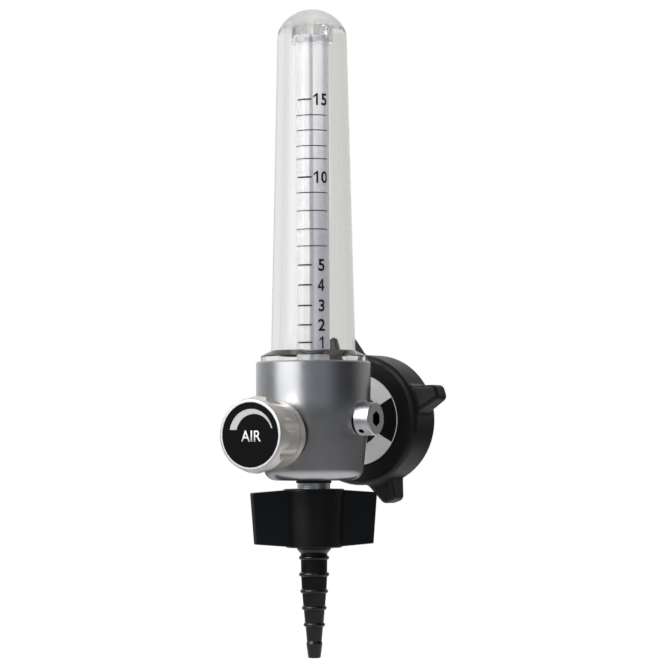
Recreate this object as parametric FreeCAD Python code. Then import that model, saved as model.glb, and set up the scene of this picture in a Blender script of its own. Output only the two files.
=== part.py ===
import FreeCAD, Part
import math
import os

# Air flowmeter with a handwheel inlet, a clear flow tube and a barbed outlet. Millimetres, +Z up.
# Shapes are drawn about the flow tube's axis: heights from the inlet axis, front at -Y, handwheel at
# +Y. Each piece is then moved so that the origin is on the inlet axis at the probe's shoulder.

# Clearances
thread_gap = 0.05        # radial, screwed pieces in their holes
running_gap = 0.05       # radial, pieces that turn or slide in a bore
seat_gap = 0.1           # radial or axial, loose seats
turning_gap = 0.1        # axial, between the wheel's web and what it runs against
ring_gap = 0.03          # round a soft ring in its groove

# Valve body
body_radius = 19.0
body_top = 19.2
body_bottom = -20.2
body_foot_draw = 3.0      # how much narrower the foot is than the body
body_taper_top = 3.4
body_taper_blend = 40.0
body_foot_fillet = 4.0
body_top_chamfer = 0.5
spot_face_depth = 0.8    # how far the flats for the fittings are sunk in the round side

# Clear cover
cover_flange_radius = 17.4
cover_flange_height = 1.8
cover_flare_height = 1.8
cover_foot_radius = 13.95
cover_shoulder_radius = 11.55
cover_length = 107.6       # from the body's top to the shoulder
cover_dome_height = 9.6
cover_shoulder_arc = 7.5
cover_wall = 2.5
cover_ceiling_rise = 3.9   # of the hollow's top over the shoulder
cover_ceiling_fillet = 2.0
cover_spigot_radius = 14.7
cover_thread_gap = 0.1
cover_spigot_length = 8.3
cover_seal_section = 1.2
cover_seal_squeeze_room = 0.1

# Flow tube and its ends
tube_radius = 5.5
tube_bore_foot = 2.95
tube_bore_top = 3.5
guide_radius = 7.0
guide_height = 5.8
guide_ring_height = 1.4
guide_ledge_height = 3.3
guide_ledge_bore = 3.9
guide_slots = 6
guide_slot_width = 2.3
guide_slot_turn = -65.0
seat_stem_radius = 5.0
seat_stem_length = 5.3
seat_flange_radius = 7.5
seat_flange_height = 3.0
seat_cup_height = 5.0
seat_nozzle_radius = 2.6
seat_nozzle_height = 2.5
seat_nozzle_bore = 1.5
base_seal_height = 1.2
ball_radius = 2.8
ball_gap = 0.02

# Gas ways in the body
gas_bore = 2.0
drop_bore = 1.5
outlet_bore = 2.5
outlet_bore_rise = 0.3   # of the bore's end over the valve's seat bore

# Inlet connector
extension_radius = 7.4
extension_length = 11.1
extension_spot_gap = 0.3
extension_thread_radius = 5.5
extension_thread_length = 9.0
extension_flats = 13.0
extension_flats_length = 5.0
washer_thickness = 0.8
stem_thread_radius = 4.5
stem_thread_length = 9.0
stem_shank_radius = 5.95
stem_collar_radius = 9.0
stem_collar_length = 1.0
stem_step_length = 1.2
stem_bore = 1.6
probe_radius = 4.5
probe_length = 12.0
probe_chamfer = 0.5
probe_groove_start = 7.2
probe_groove_width = 1.3
probe_groove_radius = 3.4
filter_radius = 2.9
filter_recess = 2.0
filter_thickness = 1.6
sleeve_wall = 1.5
sleeve_length = 10.0
sleeve_notch_width = 2.4
sleeve_notch_depth = 3.0
sleeve_notch_turns = (35.0, 200.0)

# Handwheel
wheel_depth = 15.0
wheel_radius = 22.2
wheel_web = 4.5
wheel_label_recess = 0.4
wheel_wall = 5.7           # round the hollow for the insert
wheel_front_round = 2.0
wheel_edge_fillet = 1.2
lobe_count = 4
lobe_turn = 18.7
lobe_reach = 7.3          # of each lobe past the rim
lobe_tip_width = 4.8
lobe_root_width = 9.3
lobe_corner = 2.0
lobe_root_fillet = 2.2
lobe_root_depth = 6.6      # how far each lobe reaches into the rim
lobe_set_back = 4.8
lobe_back_gap = 2.9        # from the lobes' rear faces to the wheel's back
lobe_edge_round = 1.4
insert_wall = 1.5
insert_length = 9.0
label_thickness = 0.3
wheel_label_inner = 8.7
wheel_label_outer = 15.4

# Flow control valve, below the inlet axis
valve_height = -5.2
valve_seat_land = 0.5
valve_seat_bore = 1.2
valve_chamber_radius = 4.5
bonnet_thread_radius = 6.5
bonnet_thread_length = 7.0
bonnet_neck_radius = 8.25
bonnet_neck_length = 7.0
bonnet_spot_radius = 8.9
bonnet_stop_length = 1.8
spindle_thread_radius = 3.0
spindle_thread_depth = 9.0     # of the spindle thread's end behind the bonnet's front
spindle_shaft_radius = 2.5
spindle_stem_radius = 2.2
needle_length = 3.0
needle_tip_radius = 0.5
spindle_groove_depth = 4.5     # of the ring groove behind the bonnet's front
spindle_groove_radius = 1.5
spindle_flat = 1.9
spindle_flat_length = 3.9

# Control knob
knob_length = 17.0
knob_back_radius = 10.6
knob_band_length = 3.5
knob_band_radius = 10.9
knob_groove_width = 0.5
knob_groove_radius = 10.3
knob_grip_start_radius = 11.0
knob_grip_radius = 12.5
knob_nose_length = 3.9
knob_nose_fillet = 2.5
knob_front_radius = 11.4
knob_rim_fillet = 0.5
knob_skirt_gap = 0.5
knob_skirt_depth = 4.9
knob_floor_gap = 2.5       # between the knob's inside and the bonnet, with the valve closed
knob_hub_depth = 4.4
knob_web = 3.4
knob_label_radius = 10.5
knob_label_recess = 0.45
flute_count = 8
flute_turn = 15.0
flute_cutter = 3.0
flute_depth = 1.6
flute_stop = 1.3           # from the flutes' ends to the knob's front
screw_head_radius = 2.75
screw_head_length = 2.5
screw_head_gap = 0.2
screw_radius = 1.5
screw_length = 9.4
screw_socket_flats = 2.5
screw_socket_depth = 1.3

# Side plug
plug_head_radius = 5.5
plug_head_length = 5.5
plug_chamfer = 0.4
plug_spot_radius = 6.6
plug_thread_radius = 4.5
plug_thread_length = 7.2
plug_socket_flats = 4.5
plug_socket_depth = 3.2
plug_hole_radius = 0.95
plug_hole_depth = 1.6
plug_hole_place = 2.0
plug_holes = 2
plug_hole_turn = -48.0
plug_groove_place = 4.6
plug_groove_width = 1.3
plug_groove_radius = 3.4
side_bore = 1.5

# Outlet
nipple_stem_radius = 5.0
nipple_stem_length = 7.4
nipple_bore = 2.4
nipple_neck_radius = 5.45
nipple_neck_length = 2.7
nipple_thread_radius = 7.1
nipple_thread_length = 9.8
outlet_seal_radius = 5.85
outlet_seal_height = 0.9
nut_room = 1.9             # between the nut's top and the nipple's shoulder
nut_height = 19.4
nut_top_radius = 10.1
nut_bottom_radius = 9.3
nut_edge_fillet = 0.5
wing_turn = 45.0
wing_reach_root = 4.65
wing_reach_top = 21.3
wing_reach_bottom = 20.0
wing_root_thickness = 6.0
wing_tip_thickness = 4.2
wing_drop = 1.2
wing_edge_fillet = 0.35
gasket_radius = 6.0
gasket_height = 1.0
tail_head_radius = 6.6
tail_head_height = 1.6
tail_neck_radius = 4.95
tail_collar_radius = 5.6
tail_collar_height = 0.5
tail_collar_cone = 1.4
tail_bore = 1.5
tail_length = 36.4         # below the nut
tail_tip_radius = 2.05
tail_tip_fillet = 0.4
tail_barb_height = 4.7
tail_barb_radius = 2.65
tail_barb_back = 0.9
bead_half_height = 0.75
bead_start = 3.3           # of the first bead below the nut
bead_pitch = 5.525
bead_radii = (5.0, 5.0, 4.6, 4.1, 3.55)
shank_starts = (4.4, 4.38, 4.35, 4.0, 3.5, 2.93)    # of the stretches from the collar to the barb
shank_ends = (4.4, 4.3, 4.05, 3.55, 3.02, 2.45)

# Places worked out from the sizes above
body_foot_radius = body_radius - body_foot_draw
lobe_tip_radius = wheel_radius + lobe_reach
side_flat = body_radius - spot_face_depth
socket_floor = body_top - cover_spigot_length - 2 * cover_seal_section - cover_seal_squeeze_room
cover_socket_radius = cover_spigot_radius + cover_thread_gap
cover_shoulder_height = body_top + cover_length
cover_ceiling = cover_shoulder_height + cover_ceiling_rise
seat_foot = socket_floor - seat_stem_length
drop_offset = seat_flange_radius + drop_bore + 2 * seat_gap
seat_top = socket_floor + seat_flange_height
tube_foot = seat_top + base_seal_height
nozzle_top = seat_top + seat_nozzle_height
guide_foot = cover_ceiling - guide_height
tube_top = cover_ceiling - guide_ledge_height - seat_gap
ball_rest = nozzle_top + math.sqrt(ball_radius ** 2 - seat_nozzle_bore ** 2) + ball_gap
extension_start = side_flat + washer_thickness
extension_thread_start = side_flat - extension_thread_length
extension_end = extension_start + extension_length
web_front = extension_end + turning_gap
web_back = web_front + wheel_web
wheel_face = web_front - wheel_label_recess
wheel_back = wheel_face + wheel_depth
wheel_cavity_radius = wheel_radius - wheel_wall
insert_thread_radius = wheel_cavity_radius - insert_wall
collar_front = web_back + turning_gap
sleeve_start = collar_front + stem_collar_length
inlet_seat = sleeve_start + stem_step_length
valve_seat = drop_offset - drop_bore - valve_seat_land
bonnet_start = side_flat + washer_thickness
bonnet_thread_start = side_flat - bonnet_thread_length
bonnet_front = bonnet_start + bonnet_neck_length
spindle_thread_end = bonnet_front - spindle_thread_depth
spindle_groove_place = bonnet_front - spindle_groove_depth
knob_skirt_floor = bonnet_front + knob_floor_gap
knob_back = knob_skirt_floor - knob_skirt_depth
knob_front = knob_back + knob_length
spindle_end = knob_skirt_floor + knob_hub_depth
screw_seat = spindle_end + seat_gap + knob_web
screw_start = screw_seat - screw_length
outlet_top = valve_height + valve_seat_bore + outlet_bore_rise
nipple_shoulder = body_bottom - outlet_seal_height
nipple_thread_top = nipple_shoulder - nipple_neck_length
nipple_end = nipple_thread_top - nipple_thread_length
tail_top = nipple_end - gasket_height
nut_floor = tail_top - tail_head_height
nut_top = nipple_shoulder - nut_room
nut_bottom = nut_top - nut_height
tail_end = nut_bottom - tail_length

ORIGIN = FreeCAD.Vector(0, 0, 0)
AXIS_X = FreeCAD.Vector(1, 0, 0)
AXIS_Y = FreeCAD.Vector(0, 1, 0)
AXIS_Z = FreeCAD.Vector(0, 0, 1)


def turned(points):
    """A solid turned about the upright axis from (radius, height) points."""
    corners = [FreeCAD.Vector(radius, 0, height) for radius, height in points]
    profile = Part.Face(Part.makePolygon(corners + corners[:1]))
    return profile.revolve(ORIGIN, AXIS_Z, 360)


def rod(radius, start, end):
    """An upright cylinder between two heights."""
    return Part.makeCylinder(radius, abs(end - start), FreeCAD.Vector(0, 0, min(start, end)))


def pipe(radius, bore, start, end):
    """An upright tube between two heights."""
    return rod(radius, start, end).cut(rod(bore, start, end))


def soft_ring(centre_radius, section, height):
    """A round-section ring lying flat."""
    return Part.makeTorus(centre_radius, section, FreeCAD.Vector(0, 0, height))


def hexagon(flats, start, end):
    """A hexagonal prism with two corners on the local X axis."""
    corner = flats / math.sqrt(3)
    corners = []
    for step in range(6):
        turn = math.radians(60 * step)
        corners.append(FreeCAD.Vector(corner * math.cos(turn), corner * math.sin(turn), start))
    face = Part.Face(Part.makePolygon(corners + corners[:1]))
    return face.extrude(FreeCAD.Vector(0, 0, end - start))


def spun(shape, degrees):
    """A copy turned about the upright axis."""
    copy = shape.copy()
    copy.rotate(ORIGIN, AXIS_Z, degrees)
    return copy


def facing_front(shape, height=0.0):
    """A copy with its axis laid from +Z to the front, at a height."""
    copy = shape.copy()
    copy.rotate(ORIGIN, AXIS_X, 90)
    copy.translate(FreeCAD.Vector(0, 0, height))
    return copy


def facing_back(shape):
    """A copy with its axis laid from +Z to the back."""
    copy = shape.copy()
    copy.rotate(ORIGIN, AXIS_X, -90)
    return copy


def facing_side(shape):
    """A copy with its axis laid from +Z to the side port."""
    copy = shape.copy()
    copy.rotate(ORIGIN, AXIS_Y, 90)
    return copy


def ring_edges(shape, radius, height, slack=0.01):
    """The full-circle edges of one radius about the axis, at one height."""
    found = []
    for edge in shape.Edges:
        curve = edge.Curve
        if not isinstance(curve, Part.Circle):
            continue
        if abs(curve.Radius - radius) < slack and abs(curve.Center.z - height) < slack:
            found.append(edge)
    return found


def make_valve_body():
    """Round bar with a drawn-in foot, flats for the fittings and the drilled gas ways."""
    body = turned([
        (0, body_bottom),
        (body_foot_radius, body_bottom),
        (body_radius, body_taper_top),
        (body_radius, body_top),
        (0, body_top),
    ])
    body = body.makeFillet(body_taper_blend, ring_edges(body, body_radius, body_taper_top))
    body = body.makeFillet(body_foot_fillet, ring_edges(body, body_foot_radius, body_bottom))
    body = body.makeChamfer(body_top_chamfer, ring_edges(body, body_radius, body_top))
    outside = 2 * body_radius
    cuts = [
        rod(cover_socket_radius, socket_floor, body_top),
        rod(seat_stem_radius, seat_foot - seat_gap, socket_floor),
        rod(gas_bore, 0, seat_foot),
        facing_back(rod(gas_bore, -gas_bore, side_flat)),
        facing_back(rod(extension_thread_radius, extension_thread_start - seat_gap, side_flat)),
        facing_back(rod(extension_radius + extension_spot_gap, side_flat, outside)),
        facing_front(rod(bonnet_spot_radius, side_flat, outside), valve_height),
        facing_front(rod(bonnet_thread_radius, bonnet_thread_start, side_flat), valve_height),
        facing_front(rod(valve_chamber_radius, valve_seat, side_flat), valve_height),
        facing_front(rod(valve_seat_bore, 0, valve_seat), valve_height),
        rod(outlet_bore, body_bottom, outlet_top),
        rod(nipple_stem_radius, body_bottom, body_bottom + nipple_stem_length + seat_gap),
        facing_side(rod(plug_spot_radius, side_flat, outside)),
        facing_side(rod(plug_thread_radius, side_flat - plug_thread_length - seat_gap, side_flat)),
        facing_side(rod(side_bore, 0, side_flat)),
    ]
    drop = rod(drop_bore, valve_height, socket_floor)
    drop.translate(FreeCAD.Vector(0, -drop_offset, 0))
    return body.cut(cuts + [drop])


def crown_arc():
    """Radius of the dome's crown, and the turn where the shoulder arc meets it."""
    offset = cover_shoulder_radius - cover_shoulder_arc
    drop = cover_dome_height
    radius = (offset ** 2 + drop ** 2 - cover_shoulder_arc ** 2) / (2 * (drop - cover_shoulder_arc))
    turn = math.atan2(radius - drop, offset)
    return radius, turn


def make_tube_cover():
    """Clear cover: threaded spigot, flange, flared foot, long tapered wall and rounded top."""
    flange_top = body_top + cover_flange_height
    foot = flange_top + cover_flare_height
    spigot_foot = body_top - cover_spigot_length
    dome_top = cover_shoulder_height + cover_dome_height
    crown_radius, turn = crown_arc()
    centre_radius = cover_shoulder_radius - cover_shoulder_arc
    half_turn = (math.pi / 2 + turn) / 2
    shoulder_middle = FreeCAD.Vector(
        centre_radius + cover_shoulder_arc * math.cos(turn / 2),
        0,
        cover_shoulder_height + cover_shoulder_arc * math.sin(turn / 2),
    )
    meeting = FreeCAD.Vector(
        centre_radius + cover_shoulder_arc * math.cos(turn),
        0,
        cover_shoulder_height + cover_shoulder_arc * math.sin(turn),
    )
    crown_middle = FreeCAD.Vector(
        crown_radius * math.cos(half_turn),
        0,
        dome_top - crown_radius + crown_radius * math.sin(half_turn),
    )
    shoulder = FreeCAD.Vector(cover_shoulder_radius, 0, cover_shoulder_height)
    arcs = [
        Part.Arc(shoulder, shoulder_middle, meeting).toShape(),
        Part.Arc(meeting, crown_middle, FreeCAD.Vector(0, 0, dome_top)).toShape(),
    ]
    corners = [
        FreeCAD.Vector(0, 0, dome_top),
        FreeCAD.Vector(0, 0, spigot_foot),
        FreeCAD.Vector(cover_spigot_radius, 0, spigot_foot),
        FreeCAD.Vector(cover_spigot_radius, 0, body_top),
        FreeCAD.Vector(cover_flange_radius, 0, body_top),
        FreeCAD.Vector(cover_flange_radius, 0, flange_top),
        FreeCAD.Vector(cover_foot_radius, 0, foot),
        shoulder,
    ]
    outline = Part.Wire(Part.makePolygon(corners).Edges + arcs)
    outside = Part.Face(outline).revolve(ORIGIN, AXIS_Z, 360)
    foot_bore = cover_foot_radius - cover_wall
    top_bore = cover_shoulder_radius - cover_wall
    hollow = turned([
        (0, spigot_foot),
        (foot_bore, spigot_foot),
        (foot_bore, foot),
        (top_bore, cover_ceiling),
        (0, cover_ceiling),
    ])
    hollow = hollow.makeFillet(cover_ceiling_fillet, ring_edges(hollow, top_bore, cover_ceiling))
    return outside.cut(hollow)


def make_cover_seal():
    """Soft ring between the cover's spigot and the socket's floor."""
    centre = cover_spigot_radius - cover_seal_section - thread_gap
    return soft_ring(centre, cover_seal_section, socket_floor + cover_seal_section + ring_gap)


def make_flow_tube():
    """Thick clear tube whose bore widens upwards."""
    return turned([
        (tube_bore_foot, tube_foot),
        (tube_radius, tube_foot),
        (tube_radius, tube_top),
        (tube_bore_top, tube_top),
    ])


def make_tube_top_guide():
    """Castellated ring: it centres the tube under the cover's ceiling and lets the gas out."""
    ledge = cover_ceiling - guide_ledge_height
    ring = turned([
        (tube_radius + seat_gap, guide_foot),
        (guide_radius, guide_foot),
        (guide_radius, cover_ceiling),
        (guide_ledge_bore, cover_ceiling),
        (guide_ledge_bore, ledge),
        (tube_radius + seat_gap, ledge),
    ])
    slot = Part.makeBox(
        2 * guide_radius,
        guide_slot_width,
        guide_height,
        FreeCAD.Vector(0, -guide_slot_width / 2, guide_foot + guide_ring_height),
    )
    slots = []
    for step in range(guide_slots):
        slots.append(spun(slot, guide_slot_turn + step * 360 / guide_slots))
    return ring.cut(slots)


def make_tube_seat():
    """Turned seat: threaded stem, flange, cup for the tube's foot and the gas nozzle."""
    return turned([
        (seat_nozzle_bore, seat_foot),
        (seat_stem_radius - thread_gap, seat_foot),
        (seat_stem_radius - thread_gap, socket_floor),
        (seat_flange_radius, socket_floor),
        (seat_flange_radius, seat_top + seat_cup_height),
        (tube_radius + seat_gap, seat_top + seat_cup_height),
        (tube_radius + seat_gap, seat_top),
        (seat_nozzle_radius, seat_top),
        (seat_nozzle_radius, nozzle_top),
        (seat_nozzle_bore, nozzle_top),
    ])


def make_tube_base_seal():
    """Flat soft ring between the tube's foot and its seat."""
    return pipe(tube_radius - seat_gap, seat_nozzle_radius + seat_gap, seat_top, tube_foot)


def make_float_ball():
    """Float at rest on the nozzle's rim."""
    return Part.makeSphere(ball_radius, FreeCAD.Vector(0, 0, ball_rest))


def make_inlet_extension():
    """Threaded extension between the body and the inlet stem, with two wrench flats."""
    stem_hole = extension_end - stem_thread_length - seat_gap
    piece = turned([
        (gas_bore, extension_thread_start),
        (extension_thread_radius - thread_gap, extension_thread_start),
        (extension_thread_radius - thread_gap, extension_start),
        (extension_radius, extension_start),
        (extension_radius, extension_end),
        (stem_thread_radius, extension_end),
        (stem_thread_radius, stem_hole),
        (gas_bore, stem_hole),
    ])
    for side in (1, -1):
        flat = Part.makeBox(
            2 * extension_radius,
            extension_radius,
            extension_flats_length,
            FreeCAD.Vector(-extension_radius, 0, extension_start),
        )
        flat.translate(FreeCAD.Vector(0, extension_flats / 2, 0))
        piece = piece.cut(spun(flat, 90 * side))
    return facing_back(piece)


def make_inlet_extension_seal():
    """Washer between the extension and the body's rear flat."""
    inner = extension_thread_radius + thread_gap
    return facing_back(pipe(extension_radius - seat_gap, inner, side_flat, extension_start))


def make_inlet_stem():
    """Stem: thread, running shank, stepped collar and the probe with its ring groove."""
    nose = inlet_seat + probe_length
    groove = inlet_seat + probe_groove_start
    stem = turned([
        (stem_bore, extension_end - stem_thread_length),
        (stem_thread_radius - thread_gap, extension_end - stem_thread_length),
        (stem_thread_radius - thread_gap, extension_end),
        (stem_shank_radius, extension_end),
        (stem_shank_radius, collar_front),
        (stem_collar_radius, collar_front),
        (stem_collar_radius, sleeve_start),
        (stem_collar_radius - sleeve_wall - thread_gap, sleeve_start),
        (stem_collar_radius - sleeve_wall - thread_gap, inlet_seat),
        (probe_radius, inlet_seat),
        (probe_radius, groove),
        (probe_groove_radius, groove),
        (probe_groove_radius, groove + probe_groove_width),
        (probe_radius, groove + probe_groove_width),
        (probe_radius, nose - probe_chamfer),
        (probe_radius - probe_chamfer, nose),
        (filter_radius, nose),
        (filter_radius, nose - filter_recess),
        (stem_bore, nose - filter_recess),
    ])
    return facing_back(stem)


def make_inlet_filter():
    """Sintered disc seated in the probe's mouth."""
    floor = inlet_seat + probe_length - filter_recess
    return facing_back(rod(filter_radius - thread_gap, floor, floor + filter_thickness))


def make_index_sleeve():
    """Sleeve round the probe, with the notches that let it into one gas's outlet only."""
    end = sleeve_start + sleeve_length
    sleeve = pipe(stem_collar_radius, stem_collar_radius - sleeve_wall, sleeve_start, end)
    notch = Part.makeBox(
        2 * stem_collar_radius,
        sleeve_notch_width,
        sleeve_notch_depth,
        FreeCAD.Vector(0, -sleeve_notch_width / 2, end - sleeve_notch_depth),
    )
    return facing_back(sleeve.cut([spun(notch, turn) for turn in sleeve_notch_turns]))


def groove_ring(groove_radius, bore, place):
    """Soft ring that fills a groove between its floor and the bore round it."""
    section = (bore - groove_radius) / 2 - ring_gap
    return soft_ring((bore + groove_radius) / 2, section, place)


def make_probe_seal():
    """Ring in the probe's groove, at the size it has when it is in its outlet."""
    place = inlet_seat + probe_groove_start + probe_groove_width / 2
    return facing_back(groove_ring(probe_groove_radius, probe_radius, place))


def lobe():
    """One finger lobe: tapered, leaning back from the face, with rounded corners and edges."""
    root = wheel_radius - lobe_root_depth
    half_root = lobe_root_width / 2
    half_tip = lobe_tip_width / 2
    spread = (half_root - half_tip) / (lobe_tip_radius - wheel_radius) * lobe_root_depth
    corners = [
        FreeCAD.Vector(root, -half_root - spread, wheel_face),
        FreeCAD.Vector(lobe_tip_radius, -half_tip, wheel_face),
        FreeCAD.Vector(lobe_tip_radius, half_tip, wheel_face),
        FreeCAD.Vector(root, half_root + spread, wheel_face),
    ]
    block = Part.Face(Part.makePolygon(corners + corners[:1])).extrude(
        FreeCAD.Vector(0, 0, wheel_depth)
    )
    tips = [edge for edge in block.Edges if is_upright(edge) and edge.BoundBox.XMin > root + lobe_corner]
    block = block.makeFillet(lobe_corner, tips).common(leaning_slab(root))
    rims = []
    for edge in block.Edges:
        if edge.BoundBox.XMax > root + lobe_corner and not is_upright(edge):
            rims.append(edge)
    return block.makeFillet(lobe_edge_round, rims)


def leaning_slab(root):
    """A wide slab behind the sloping plane that a lobe's front face lies in."""
    start = wheel_face + wheel_front_round
    end = wheel_face + lobe_set_back
    back = wheel_back - lobe_back_gap
    slope = (end - start) / (lobe_tip_radius - wheel_radius)
    outline = [
        FreeCAD.Vector(root, -wheel_radius, start - slope * (wheel_radius - root)),
        FreeCAD.Vector(lobe_tip_radius, -wheel_radius, end),
        FreeCAD.Vector(lobe_tip_radius, -wheel_radius, back),
        FreeCAD.Vector(root, -wheel_radius, back),
    ]
    face = Part.Face(Part.makePolygon(outline + outline[:1]))
    return face.extrude(FreeCAD.Vector(0, 2 * wheel_radius, 0))


def is_upright(edge, slack=0.01):
    """True for an edge that runs along the axis."""
    return edge.BoundBox.XLength < slack and edge.BoundBox.YLength < slack


def root_corner(edge, slack=0.05):
    """True for the upright edges where a lobe leaves the rim, and not for the rim's own seam."""
    first = edge.Vertexes[0].Point
    on_rim = abs(math.hypot(first.x, first.y) - wheel_radius) < slack
    return is_upright(edge) and on_rim and abs(first.y) > slack


def make_handwheel():
    """Moulded wheel: web, deep rim and four finger lobes that lean back from the face."""
    wheel = rod(wheel_radius, wheel_face, wheel_back)
    wheel = wheel.makeFillet(wheel_front_round, ring_edges(wheel, wheel_radius, wheel_face))
    wheel = wheel.makeFillet(wheel_edge_fillet, ring_edges(wheel, wheel_radius, wheel_back))
    for step in range(lobe_count):
        wheel = wheel.fuse(spun(lobe(), -(lobe_turn + step * 360 / lobe_count)))
    wheel = wheel.makeFillet(lobe_root_fillet, [edge for edge in wheel.Edges if root_corner(edge)])
    cuts = [
        rod(wheel_label_outer + seat_gap, wheel_face, web_front),
        rod(stem_shank_radius + running_gap, web_front, web_back),
        rod(wheel_cavity_radius, web_back, wheel_back),
    ]
    return facing_back(wheel.cut(cuts))


def make_handwheel_insert():
    """Threaded brass ring seated in the wheel's hollow."""
    radius = wheel_cavity_radius - thread_gap
    return facing_back(pipe(radius, insert_thread_radius, web_back, web_back + insert_length))


def make_handwheel_label():
    """Thin ring label in the recess of the wheel's face."""
    start = web_front - label_thickness
    return facing_back(pipe(wheel_label_outer, wheel_label_inner, start, web_front))


def make_valve_bonnet():
    """Screwed-in bonnet: threaded part, round neck, and the spindle's thread and bore."""
    stop = spindle_thread_end + bonnet_stop_length
    bonnet = turned([
        (spindle_thread_radius, bonnet_thread_start),
        (bonnet_thread_radius - thread_gap, bonnet_thread_start),
        (bonnet_thread_radius - thread_gap, bonnet_start),
        (bonnet_neck_radius, bonnet_start),
        (bonnet_neck_radius, bonnet_front),
        (spindle_shaft_radius, bonnet_front),
        (spindle_shaft_radius, stop),
        (spindle_thread_radius, stop),
    ])
    return facing_front(bonnet, valve_height)


def make_bonnet_seal():
    """Washer under the bonnet's neck."""
    washer = pipe(bonnet_neck_radius, bonnet_thread_radius + thread_gap, side_flat, bonnet_start)
    return facing_front(washer, valve_height)


def make_needle_spindle():
    """Spindle: needle, threaded part, shaft with a ring groove and a flatted end."""
    groove = spindle_shaft_radius - spindle_groove_radius
    shaft = spindle_shaft_radius - running_gap
    spindle = turned([
        (0, valve_seat - needle_length),
        (needle_tip_radius, valve_seat - needle_length),
        (valve_seat_bore - running_gap, valve_seat),
        (spindle_stem_radius, valve_seat),
        (spindle_stem_radius, bonnet_thread_start),
        (spindle_thread_radius - running_gap, bonnet_thread_start),
        (spindle_thread_radius - running_gap, spindle_thread_end),
        (shaft, spindle_thread_end),
        (shaft, spindle_groove_place - groove / 2),
        (spindle_groove_radius, spindle_groove_place - groove / 2),
        (spindle_groove_radius, spindle_groove_place + groove / 2),
        (shaft, spindle_groove_place + groove / 2),
        (shaft, spindle_end),
        (0, spindle_end),
    ])
    tail = Part.makeBox(
        2 * shaft,
        2 * shaft,
        spindle_flat_length,
        FreeCAD.Vector(-shaft, spindle_flat, spindle_end - spindle_flat_length),
    )
    screw_hole = rod(screw_radius, screw_start - seat_gap, spindle_end)
    return facing_front(spindle.cut([tail, screw_hole]), valve_height)


def make_spindle_oring():
    """Ring that seals the spindle in the bonnet's bore."""
    ring = groove_ring(spindle_groove_radius, spindle_shaft_radius, spindle_groove_place)
    return facing_front(ring, valve_height)


def flute_cutter_shape():
    """Round-nosed cutter of one finger flute, at the knob's right side."""
    place = knob_grip_radius - flute_depth + flute_cutter
    reach = math.sqrt(flute_cutter ** 2 - (place - knob_grip_radius) ** 2)
    nose = knob_front - flute_stop - reach
    start = knob_back + knob_band_length + knob_groove_width / 2
    barrel = rod(flute_cutter, start, nose)
    cutter = barrel.fuse(Part.makeSphere(flute_cutter, FreeCAD.Vector(0, 0, nose)))
    cutter.translate(FreeCAD.Vector(place, 0, 0))
    return cutter


def make_control_knob():
    """Turned knob: rear band, fluted grip, rounded front rim, hub bore and label recess."""
    band_end = knob_back + knob_band_length
    groove_end = band_end + knob_groove_width
    grip_end = knob_front - knob_nose_length
    knob = turned([
        (0, knob_back),
        (knob_back_radius, knob_back),
        (knob_band_radius, band_end),
        (knob_groove_radius, band_end),
        (knob_groove_radius, groove_end),
        (knob_grip_start_radius, groove_end),
        (knob_grip_radius, grip_end),
        (knob_front_radius, knob_front),
        (0, knob_front),
    ])
    rim = ring_edges(knob, knob_front_radius, knob_front)
    knob = knob.makeFillet(knob_rim_fillet, rim)
    knob = knob.makeFillet(knob_nose_fillet, ring_edges(knob, knob_grip_radius, grip_end))
    cutters = []
    for step in range(flute_count):
        cutters.append(spun(flute_cutter_shape(), flute_turn + step * 360 / flute_count))
    hub = rod(spindle_shaft_radius, knob_skirt_floor, spindle_end + seat_gap)
    key = Part.makeBox(
        2 * spindle_shaft_radius,
        spindle_shaft_radius,
        spindle_flat_length - seat_gap,
        FreeCAD.Vector(-spindle_shaft_radius, spindle_flat + running_gap,
                       spindle_end + seat_gap - spindle_flat_length + seat_gap),
    )
    cuts = [
        rod(bonnet_neck_radius + knob_skirt_gap, knob_back, knob_skirt_floor),
        hub.cut(key),
        rod(screw_radius + seat_gap, spindle_end, screw_seat),
        rod(screw_head_radius + screw_head_gap, screw_seat, knob_front),
        rod(knob_label_radius, knob_front - knob_label_recess, knob_front),
    ]
    return facing_front(knob.cut(cutters).cut(cuts), valve_height)


def make_knob_label():
    """Thin disc in the recess of the knob's face."""
    start = knob_front - knob_label_recess
    disc = rod(knob_label_radius - thread_gap, start, start + label_thickness)
    return facing_front(disc, valve_height)


def make_knob_screw():
    """Socket screw that holds the knob on the spindle."""
    top = screw_seat + screw_head_length
    screw = rod(screw_radius - thread_gap, screw_start, screw_seat)
    screw = screw.fuse(rod(screw_head_radius, screw_seat, top))
    screw = screw.cut(hexagon(screw_socket_flats, top - screw_socket_depth, top))
    return facing_front(screw, valve_height)


def make_side_plug():
    """Socket plug in the side port: grooved shank, round head and two holes in its side."""
    start = side_flat - plug_thread_length
    head_end = side_flat + plug_head_length
    groove = start + plug_groove_place
    shank = plug_thread_radius - thread_gap
    plug = turned([
        (0, start),
        (shank, start),
        (shank, groove - plug_groove_width / 2),
        (plug_groove_radius, groove - plug_groove_width / 2),
        (plug_groove_radius, groove + plug_groove_width / 2),
        (shank, groove + plug_groove_width / 2),
        (shank, side_flat),
        (plug_head_radius, side_flat),
        (plug_head_radius, head_end - plug_chamfer),
        (plug_head_radius - plug_chamfer, head_end),
        (0, head_end),
    ])
    cuts = [hexagon(plug_socket_flats, head_end - plug_socket_depth, head_end)]
    for step in range(plug_holes):
        turn = plug_hole_turn + step * 360 / plug_holes
        hole = Part.makeCylinder(
            plug_hole_radius,
            plug_head_radius,
            FreeCAD.Vector(plug_head_radius - plug_hole_depth, 0, side_flat + plug_hole_place),
            AXIS_X,
        )
        cuts.append(spun(hole, 270 - turn))
    return facing_side(plug.cut(cuts))


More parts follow.
